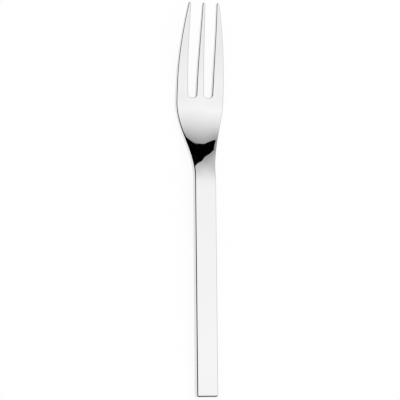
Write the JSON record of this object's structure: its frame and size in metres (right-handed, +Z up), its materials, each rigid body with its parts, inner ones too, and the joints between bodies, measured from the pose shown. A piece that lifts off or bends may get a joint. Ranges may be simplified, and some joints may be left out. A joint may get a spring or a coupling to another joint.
{
  "type": "serving fork",
  "caption": "One-piece serving fork: flat bar handle with soft edges, cranked neck, shallow curved head and long tapering tines with a slot between each pair, for lifting and serving food.",
  "frame": {"origin": "under the middle of the fork's length and width, on the table that it lies on, tines curving up", "axes": "+Y along the fork from the handle's end to the tips, +X to the right seen from above, +Z up from the table"},
  "size_m": [0.0318, 0.235, 0.0121],
  "materials": {
    "polished_steel": "mirror-polished stainless steel, bare metal all over"
  },
  "bodies": {
    "root": {"serving_fork": "polished_steel"}
  },
  "joints": []
}
